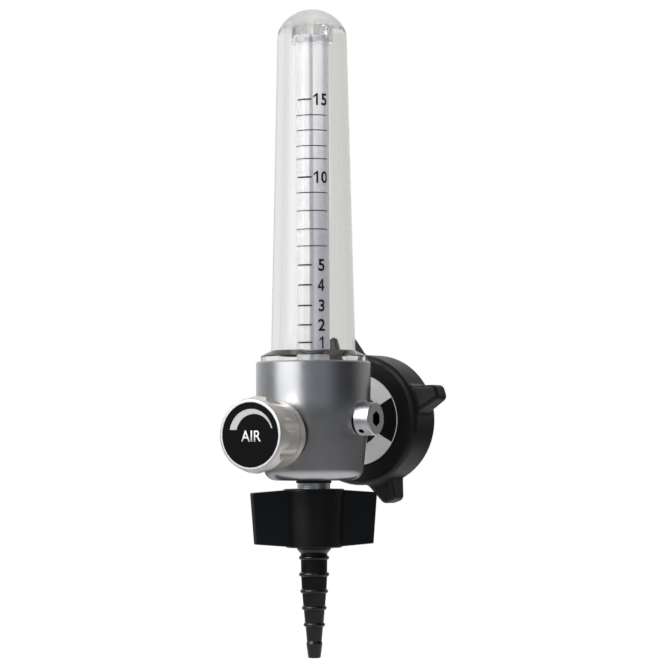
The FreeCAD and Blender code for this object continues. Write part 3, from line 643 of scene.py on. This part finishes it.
def threaded_wall(crest, root, pitch, start, end):
    """A wall along Z with a helical thread, whose ends run out to the root radius."""
    rows = round((end - start) / pitch * THREAD_STEPS) + THREAD_STEPS
    shape = bmesh.new()
    bmesh.ops.create_grid(shape, x_segments=ROUND_STEPS, y_segments=rows, size=0.5)
    for vertex in shape.verts:
        around = vertex.co.x + 0.5
        row = round((vertex.co.y + 0.5) * rows)
        climb = start - pitch + (row / THREAD_STEPS + around) * pitch
        height = min(max(climb, start), end)
        fade = min(1.0, (height - start) / (pitch * RUN_OUT), (end - height) / (pitch * RUN_OUT))
        wave = 0.5 - 0.5 * math.cos(2 * math.pi * row / THREAD_STEPS)
        radius = root + (crest - root) * wave * fade
        turn = 2 * math.pi * around
        vertex.co = (radius * math.cos(turn), radius * math.sin(turn), height)
    bmesh.ops.remove_doubles(shape, verts=shape.verts, dist=WELD)
    bmesh.ops.dissolve_degenerate(shape, edges=shape.edges, dist=WELD)
    return shape


def rim_loop(shape, height):
    """The open edges of a shape at one height."""
    return [
        edge for edge in shape.edges
        if edge.is_boundary and all(abs(vertex.co.z - height) < SAME_HEIGHT for vertex in edge.verts)
    ]


def carry_loop(shape, loop, radius, height):
    """Extrudes a round loop of edges to another radius and height, and returns the new loop."""
    made = bmesh.ops.extrude_edge_only(shape, edges=loop)["geom"]
    for part in made:
        if isinstance(part, bmesh.types.BMVert):
            flat = part.co.xy.normalized() * radius
            part.co = (flat.x, flat.y, height)
    return [part for part in made if isinstance(part, bmesh.types.BMEdge) and part.is_boundary]


def turn_outwards(shape):
    """Welds a closed shape and turns all its faces outwards."""
    bmesh.ops.remove_doubles(shape, verts=shape.verts, dist=WELD)
    bmesh.ops.recalc_face_normals(shape, faces=shape.faces)


def shade_smooth(piece):
    """Smooth shading that keeps the sharp edges sharp."""
    piece.data.shade_smooth()
    piece.data.set_sharp_from_angle(angle=SHARP_ANGLE)


insert_low, insert_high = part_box("handwheel_insert")
wheel_axis = (insert_low + insert_high) / 2
insert_radius = (insert_high.x - insert_low.x) / 2
insert_length = insert_high.y - insert_low.y
crest_radius = insert_radius - INSERT_WALL
insert_shape = threaded_wall(
    crest_radius, crest_radius + INSERT_DEPTH, INSERT_PITCH, start=0.0, end=insert_length,
)
front_loop = carry_loop(insert_shape, rim_loop(insert_shape, 0.0), insert_radius, 0.0)
back_loop = carry_loop(
    insert_shape, rim_loop(insert_shape, insert_length), insert_radius, insert_length,
)
bmesh.ops.bridge_loops(insert_shape, edges=front_loop + back_loop)
turn_outwards(insert_shape)
at_wheel = Matrix.Translation((wheel_axis.x, insert_low.y, wheel_axis.z))
laid_back = Matrix.Rotation(-math.pi / 2, 4, "X")
bmesh.ops.transform(insert_shape, matrix=at_wheel @ laid_back, verts=insert_shape.verts)
insert = make_piece("threaded_insert", [insert_shape], turned_brass, "handwheel")
shade_smooth(insert)
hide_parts("handwheel_insert")


# Handwheel label
# Printed film stuck on the wheel's face: silver above and below, black to the left and right, with
# a fine pale line round the edge. The silver is dull and hardly metallic.
LABEL_SILVER = "#F2F0ED"
LABEL_BLACK = "#121212"
LABEL_BLACK_HALF = math.radians(30.0)
LABEL_LINE = 0.0003
SILVER_METAL = 0.1
FILM_SHINE = 0.2

label_low, label_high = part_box("handwheel_label")
label_radius = (label_high.x - label_low.x) / 2
label_film = new_material("printed_label_film")
parts = place_parts(label_film)
across = add_node(label_film, "ShaderNodeMath", {"operation": "ABSOLUTE"}, {0: parts["X"]})
above = add_node(label_film, "ShaderNodeMath", {"operation": "ABSOLUTE"}, {0: parts["Z"]})
turn = add_node(
    label_film, "ShaderNodeMath", {"operation": "ARCTAN2"},
    {0: above.outputs[0], 1: across.outputs[0]},
)
in_silver = add_node(
    label_film, "ShaderNodeMath", {"operation": "GREATER_THAN", 1: LABEL_BLACK_HALF},
    {0: turn.outputs[0]},
)
flat_place = add_node(
    label_film, "ShaderNodeCombineXYZ", links={0: across.outputs[0], 2: above.outputs[0]},
)
distance = add_node(
    label_film, "ShaderNodeVectorMath", {"operation": "LENGTH"}, {0: flat_place.outputs[0]},
)
at_edge = add_node(
    label_film, "ShaderNodeMath", {"operation": "GREATER_THAN", 1: label_radius - LABEL_LINE},
    {0: distance.outputs["Value"]},
)
silver_part = add_node(
    label_film, "ShaderNodeMath", {"operation": "MAXIMUM"},
    {0: in_silver.outputs[0], 1: at_edge.outputs[0]},
)
fields = add_node(
    label_film, "ShaderNodeMix",
    {"data_type": "RGBA", 6: linear(LABEL_BLACK), 7: linear(LABEL_SILVER)},
    {0: silver_part.outputs[0]},
)
film_metal = add_node(
    label_film, "ShaderNodeMath", {"operation": "MULTIPLY", 1: SILVER_METAL},
    {0: in_silver.outputs[0]},
)
gloss, normal = grain_and_gloss(
    label_film, grain=0.0004, depth=0.000003, roughness=0.38, spread=0.05,
)
film_shader = add_node(
    label_film, "ShaderNodeBsdfPrincipled", {"Specular IOR Level": FILM_SHINE},
    {
        "Base Color": fields.outputs[2], "Metallic": film_metal.outputs[0],
        "Roughness": gloss, "Normal": normal,
    },
)
surface(label_film, film_shader)
dress("handwheel_label", label_film)


# Control knob, screw and spindle
# Turned and fluted brass with warm satin nickel plate, and a front rim that is cut bright. A steel
# screw under the label holds it on the steel spindle. Turning leaves fine rings about its axis.
KNOB_NICKEL = "#EAE5DE"
KNOB_RIM = "#D6D6D9"
KNOB_METAL = 0.85
KNOB_RINGS = (0.3, 1, 0.3)
RIM_ROUGHNESS = 0.4
RIM_DEPTH = 0.0007         # the bright cut fades in from here to the next depth
RIM_FULL_DEPTH = 0.00049

knob_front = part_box("control_knob")[0].y
satin_nickel = new_material("satin_nickel_plate")
at_rim = add_node(
    satin_nickel, "ShaderNodeMapRange",
    {"From Min": knob_front + RIM_DEPTH, "From Max": knob_front + RIM_FULL_DEPTH},
    {"Value": place_parts(satin_nickel)["Y"]},
)
plate = add_node(
    satin_nickel, "ShaderNodeMix",
    {"data_type": "RGBA", 6: linear(KNOB_NICKEL), 7: linear(KNOB_RIM)},
    {0: at_rim.outputs["Result"]},
)
gloss, normal = grain_and_gloss(
    satin_nickel, grain=0.0003, depth=0.000002, roughness=0.39, spread=0.03, stretch=KNOB_RINGS,
)
rim_gloss = add_node(
    satin_nickel, "ShaderNodeMix", {"data_type": "FLOAT", 3: RIM_ROUGHNESS},
    {0: at_rim.outputs["Result"], 2: gloss},
)
knob_shader = add_node(
    satin_nickel, "ShaderNodeBsdfPrincipled", {"Metallic": KNOB_METAL},
    {"Base Color": plate.outputs[2], "Roughness": rim_gloss.outputs[0], "Normal": normal},
)
surface(satin_nickel, knob_shader)
dress("control_knob", satin_nickel)
steel_screw = plated_metal(
    "stainless_screw", "#A9AAAC", roughness=0.25, grain=0.0002, depth=0.000001,
    stretch=RINGS_ROUND_Y,
)
for node in ("knob_screw", "needle_spindle"):
    dress(node, steel_screw)


# Knob label
# A black anodised disc pressed in the knob's face. Its print is a silver wedge between two arcs,
# which widens the way the knob turns to open, and the name of the gas in white.
WEDGE_OUTER = {"radius": 0.0081, "centre": (0.00028, 0.0002), "turns": (170.0, 13.6)}
WEDGE_INNER = {"radius": 0.00674, "centre": (0.00136, -0.00003), "turns": (165.9, 18.4)}
WEDGE_STEPS = 72
GAS_HEIGHT = 0.00353
GAS_WEIGHT = 0.004
GAS_NARROWING = 0.93
GAS_SHIFT = 0.00025
GAS_DROP = 0.0004
PRINT_GRAIN = 0.0004

disc_black = moulded(
    "black_anodised_disc", "#060605", roughness=0.4, grain=PRINT_GRAIN, depth=0.000003, shine=0.08,
)
print_silver = moulded(
    "silver_grey_print", "#BFBDBD", roughness=0.4, grain=PRINT_GRAIN, depth=0.000002,
)
print_white = moulded("white_print", "#FAFAFA", roughness=0.4, grain=PRINT_GRAIN, depth=0.000002)
dress("knob_label", disc_black)


def on_arc(share, radius, centre, turns):
    """The point at a share of an arc, which is given by its first and last turns."""
    turn = math.radians(turns[0] + share * (turns[1] - turns[0]))
    return Vector((centre[0] + radius * math.cos(turn), 0.0, centre[1] + radius * math.sin(turn)))


wedge = bmesh.new()
bmesh.ops.create_grid(wedge, x_segments=WEDGE_STEPS, y_segments=1, size=0.5)
for vertex in wedge.verts:
    share = vertex.co.x + 0.5
    inner = on_arc(share, **WEDGE_INNER)
    outer = on_arc(share, **WEDGE_OUTER)
    vertex.co = inner.lerp(outer, vertex.co.y + 0.5)
thicken(wedge, PRINT_THICKNESS)
gas_name = lettering("AIR", GAS_HEIGHT, GAS_WEIGHT)
bmesh.ops.scale(gas_name, vec=(GAS_NARROWING, 1, 1), verts=gas_name.verts)
bmesh.ops.translate(gas_name, vec=(GAS_SHIFT, 0, -GAS_DROP), verts=gas_name.verts)
disc_low, disc_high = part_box("knob_label")
disc_centre = (disc_low + disc_high) / 2
on_disc = Vector((disc_centre.x, disc_low.y - PRINT_LIFT, disc_centre.z))
for shape in (wedge, gas_name):
    bmesh.ops.translate(shape, vec=on_disc, verts=shape.verts)
make_piece("knob_wedge_print", [wedge], print_silver, "knob")
make_piece("knob_gas_print", [gas_name], print_white, "knob")


# Outlet nipple
# Turned brass with chrome plate, screwed into the body's underside. It has a plain neck and the
# thread that the wing nut runs on, which shows when the nut is run down.
NIPPLE_PITCH = 0.00141
NIPPLE_DEPTH = 0.0007
NIPPLE_NECK = 0.00545
NIPPLE_BORE = 0.0024
NIPPLE_STEM = 0.00495
THREAD_LENGTH = 0.0098
NECK_LENGTH = 0.0027

nipple_low, nipple_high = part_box("outlet_nipple")
nipple_radius = (nipple_high.x - nipple_low.x) / 2
thread_top = nipple_low.z + THREAD_LENGTH
neck_top = thread_top + NECK_LENGTH
nipple_shape = threaded_wall(
    nipple_radius, nipple_radius - NIPPLE_DEPTH, NIPPLE_PITCH, start=nipple_low.z, end=thread_top,
)
loop = carry_loop(nipple_shape, rim_loop(nipple_shape, nipple_low.z), NIPPLE_BORE, nipple_low.z)
bore_loop = carry_loop(nipple_shape, loop, NIPPLE_BORE, nipple_high.z)
loop = rim_loop(nipple_shape, thread_top)
for radius, height in (
    (NIPPLE_NECK, thread_top),
    (NIPPLE_NECK, neck_top),
    (NIPPLE_STEM, neck_top),
    (NIPPLE_STEM, nipple_high.z),
):
    loop = carry_loop(nipple_shape, loop, radius, height)
bmesh.ops.bridge_loops(nipple_shape, edges=loop + bore_loop)
turn_outwards(nipple_shape)
bmesh.ops.translate(nipple_shape, vec=(tube_axis.x, tube_axis.y, 0), verts=nipple_shape.verts)
nipple = make_piece("threaded_nipple", [nipple_shape], bright_chrome, "root")
shade_smooth(nipple)
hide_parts("outlet_nipple")


# Wing nut and hose tail
# Both are moulded in glossy black nylon, and the nut clamps the tail's head under the nipple. The
# nut's flat wings are duller, and the tail's beads carry small sharp highlights.
dress("wing_nut", moulded(
    "glossy_black_nylon", "#0A0B0C", roughness=0.3, grain=0.0005, depth=0.000004, shine=0.35,
))
dress("hose_tail", moulded(
    "polished_black_nylon", "#0B0B0B", roughness=0.17, grain=0.0006, depth=0.000003,
))


# Paper floor
# White paper a little below the meter, bright enough to have no edge in the picture. Under the meter
# it lights the pieces like a pool that fades outwards, and it looks bright through the clear plastic.
FLOOR_DROP = 0.02
FLOOR_HALF = 4.0
POOL_RADIUS = 0.13
POOL_EDGE = 0.34
POOL_BRIGHT = 0.65
POOL_DIM = 0.08
FLOOR_THROUGH_CLEAR = 0.8
WHITE = linear("#FFFFFF")

paper = new_material("white_paper")
place = add_node(paper, "ShaderNodeTexCoord")
distance = add_node(
    paper, "ShaderNodeVectorMath", {"operation": "LENGTH"}, {0: place.outputs["Object"]},
)
pool = add_node(
    paper, "ShaderNodeMapRange",
    {"From Min": POOL_RADIUS, "From Max": POOL_EDGE, "To Min": POOL_BRIGHT, "To Max": POOL_DIM},
    {"Value": distance.outputs["Value"]},
)
path = add_node(paper, "ShaderNodeLightPath")
through_clear = add_node(
    paper, "ShaderNodeMix", {"data_type": "FLOAT", 3: FLOOR_THROUGH_CLEAR},
    {0: path.outputs["Is Transmission Ray"], 2: pool.outputs["Result"]},
)
brightness = add_node(
    paper, "ShaderNodeMix", {"data_type": "FLOAT", 3: 1.0},
    {0: path.outputs["Is Camera Ray"], 2: through_clear.outputs[0]},
)
surface(paper, add_node(
    paper, "ShaderNodeEmission", {"Color": WHITE}, {"Strength": brightness.outputs[0]},
))
floor_shape = bmesh.new()
bmesh.ops.create_grid(floor_shape, x_segments=1, y_segments=1, size=FLOOR_HALF)
bmesh.ops.translate(floor_shape, vec=(0, 0, cad_low.z - FLOOR_DROP), verts=floor_shape.verts)
floor_mesh = bpy.data.meshes.new("floor")
floor_shape.to_mesh(floor_mesh)
floor_shape.free()
floor_mesh.materials.append(paper)
floor = bpy.data.objects.new("floor", floor_mesh)
bpy.context.scene.collection.objects.link(floor)


# Softboxes
# A wide one high on the left, a small one above the camera and a soft fill from the right, which
# lights the dull surfaces alone. Directions are bearings round the tube and rises above level.
LIGHT_DISTANCE = 1.2
KEY_SOFTBOX = {"bearing": -23.0, "rise": 32.0, "size": 1.2, "power": 18.0}
TOP_SOFTBOX = {"bearing": 38.0, "rise": 52.0, "size": 0.4, "power": 0.8}
FILL_SOFTBOX = {"bearing": 75.0, "rise": 40.0, "size": 0.6, "power": 12.0}


def softbox(name, bearing, rise, size, power):
    """A square area light in a direction from the meter, turned towards it."""
    lamp = bpy.data.lights.new(name, "AREA")
    lamp.shape = "SQUARE"
    lamp.size = size
    lamp.energy = power
    turn = math.radians(bearing)
    lift = math.radians(rise)
    level = Vector((math.sin(turn), -math.cos(turn), 0.0)) * math.cos(lift)
    direction = level + Vector((0.0, 0.0, math.sin(lift)))
    holder = bpy.data.objects.new(name, lamp)
    holder.location = Vector((tube_axis.x, tube_axis.y, 0.0)) + LIGHT_DISTANCE * direction
    holder.rotation_euler = direction.to_track_quat("Z", "Y").to_euler()
    bpy.context.scene.collection.objects.link(holder)
    return holder


softbox("key_softbox", **KEY_SOFTBOX)
top = softbox("top_softbox", **TOP_SOFTBOX)
top.visible_transmission = False
fill = softbox("fill_softbox", **FILL_SOFTBOX)
fill.visible_glossy = False
fill.visible_transmission = False


# Studio room
# Pale card stands behind the meter, grey walls behind the camera and dark cloth on the right, so
# that the plate shows soft bands. Through the clear plastic all of it is paler. Bearings turn from
# straight behind the meter, to the right as the camera sees it.
ROOM_BANDS = (
    (-180.0, "#747A81"), (-150.0, "#6C7279"), (-110.0, "#74777A"), (-75.0, "#9C9D9F"),
    (-48.0, "#C7C7C7"), (-26.0, "#DEDEDE"), (18.0, "#DCDCDA"), (32.0, "#9B9996"),
    (62.0, "#989592"), (80.0, "#6E6D6C"), (98.0, "#1C1C1E"), (134.0, "#303238"),
    (152.0, "#848991"), (180.0, "#7E848B"),
)
ROOM_THROUGH_CLEAR = (
    (-180.0, "#A0A0A0"), (-100.0, "#D6D6D6"), (-60.0, "#EBEBEC"), (-4.0, "#F6F6F7"),
    (4.0, "#DEDEDC"), (60.0, "#CDCDCA"), (110.0, "#BCBCBA"), (180.0, "#A0A0A0"),
)
BACKWARDS = (-math.sin(VIEW_TURN), math.cos(VIEW_TURN), 0.0)
RIGHTWARDS = (math.cos(VIEW_TURN), math.sin(VIEW_TURN), 0.0)

room = bpy.data.worlds.new("studio_room")
room.use_nodes = True
room.node_tree.nodes.clear()
bpy.context.scene.world = room
direction = add_node(room, "ShaderNodeTexCoord")
backwards = add_node(
    room, "ShaderNodeVectorMath", {"operation": "DOT_PRODUCT", 1: BACKWARDS},
    {0: direction.outputs["Generated"]},
)
rightwards = add_node(
    room, "ShaderNodeVectorMath", {"operation": "DOT_PRODUCT", 1: RIGHTWARDS},
    {0: direction.outputs["Generated"]},
)
share = turn_share(room, rightwards.outputs["Value"], backwards.outputs["Value"])
card = add_node(
    room, "ShaderNodeBackground", {"Strength": 1.0},
    {"Color": colour_bands(room, ROOM_BANDS, share)},
)
card_through_clear = add_node(
    room, "ShaderNodeBackground", {"Strength": 1.0},
    {"Color": colour_bands(room, ROOM_THROUGH_CLEAR, share)},
)
white_paper = add_node(room, "ShaderNodeBackground", {"Color": WHITE, "Strength": 1.0})
path = add_node(room, "ShaderNodeLightPath")
behind = add_node(
    room, "ShaderNodeMixShader",
    links={
        0: path.outputs["Is Transmission Ray"],
        1: card.outputs[0], 2: card_through_clear.outputs[0],
    },
)
seen = add_node(
    room, "ShaderNodeMixShader",
    links={0: path.outputs["Is Camera Ray"], 1: behind.outputs[0], 2: white_paper.outputs[0]},
)
add_node(room, "ShaderNodeOutputWorld", links={"Surface": seen.outputs[0]})

bpy.context.scene.view_settings.view_transform = "Standard"
